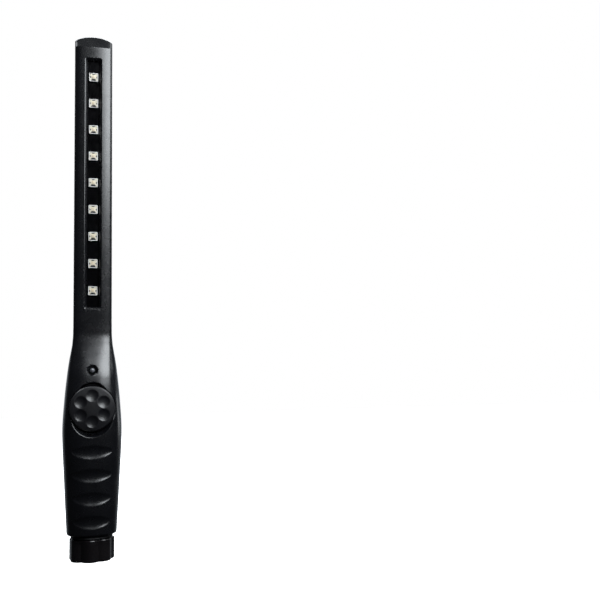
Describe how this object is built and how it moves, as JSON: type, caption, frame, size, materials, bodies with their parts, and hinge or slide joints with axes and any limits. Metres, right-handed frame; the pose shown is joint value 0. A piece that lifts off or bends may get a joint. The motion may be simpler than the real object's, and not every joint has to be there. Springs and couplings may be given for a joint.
{
  "type": "handheld led light wand",
  "caption": "Handheld light wand: a slim blade with a recessed strip of square LEDs, a swelling grip with a round push button, finger scoops and a screw-on battery cap.",
  "frame": {"origin": "centre of the end cap's flat bottom, which the wand stands on", "axes": "+Z from the end cap to the tip, the light side faces -Y, +X to the right seen from the light side"},
  "size_m": [0.041, 0.037, 0.378],
  "materials": {
    "shell_black": "satin black moulded plastic with a fine texture",
    "button_black": "satin black moulded plastic",
    "cap_black": "semi-gloss black moulded plastic",
    "seal_rubber": "black rubber",
    "led_board": "black solder mask",
    "control_board": "green solder mask",
    "led_package": "cream phosphor in a bright square frame",
    "indicator_lens": "clear grey resin",
    "component_black": "black moulding",
    "switch_grey": "dark grey moulding",
    "spreader_metal": "brushed",
    "screw_steel": "zinc plated",
    "contact_brass": "plain",
    "cell_can": "plain shrink wrap",
    "wire_red": "red insulation",
    "wire_black": "black insulation"
  },
  "bodies": {
    "cap": {"end_cap": "cap_black", "seal_ring": "seal_rubber"},
    "contact": {"spring_seat": "contact_brass", "contact_spring": "screw_steel"},
    "housing": {"front_shell": "shell_black", "rear_shell": "shell_black", "led_board": "led_board", "heat_spreader": "spreader_metal", "led_1": "led_package", "led_2": "led_package", "led_3": "led_package", "led_4": "led_package", "led_5": "led_package", "led_6": "led_package", "led_7": "led_package", "led_8": "led_package", "led_9": "led_package", "control_board": "control_board", "control_chip": "component_black", "switch_body": "switch_grey", "indicator_led": "indicator_lens", "housing_screw_1": "screw_steel", "housing_screw_2": "screw_steel", "housing_screw_3": "screw_steel", "housing_screw_4": "screw_steel", "thread_collar": "shell_black", "battery_sleeve": "component_black", "battery_carrier": "component_black", "cell_1": "cell_can", "cell_2": "cell_can", "cell_3": "cell_can", "positive_contact": "contact_brass", "ground_strip": "contact_brass", "led_lead_pos": "wire_red", "led_lead_neg": "wire_black", "cell_lead_pos": "wire_red", "cell_lead_neg": "wire_black"},
    "button": {"power_button": "button_black"},
    "switch": {"switch_stem": "switch_grey"}
  },
  "joints": [
    {"name": "cap_turn", "type": "hinge", "parent": "cap", "child": "contact", "pos_m": [0, 0, 0], "axis": [0, 0, 1], "range_deg": [0, 720]},
    {"name": "cap_travel", "type": "slide", "parent": "contact", "child": "housing", "axis": [0, 0, 1], "range_m": [0, 0.006]},
    {"name": "button_press", "type": "slide", "parent": "housing", "child": "button", "axis": [0, 1, 0], "range_m": [0, 0.001], "stiffness_N_per_m": 1500},
    {"name": "switch_press", "type": "slide", "parent": "housing", "child": "switch", "axis": [0, 1, 0], "range_m": [0, 0.001]}
  ],
  "couplings": [
    {"joint": "cap_turn", "follows": "cap_travel", "rad_per_m": 2094.4},
    {"joint": "switch_press", "follows": "button_press", "ratio": 1}
  ]
}
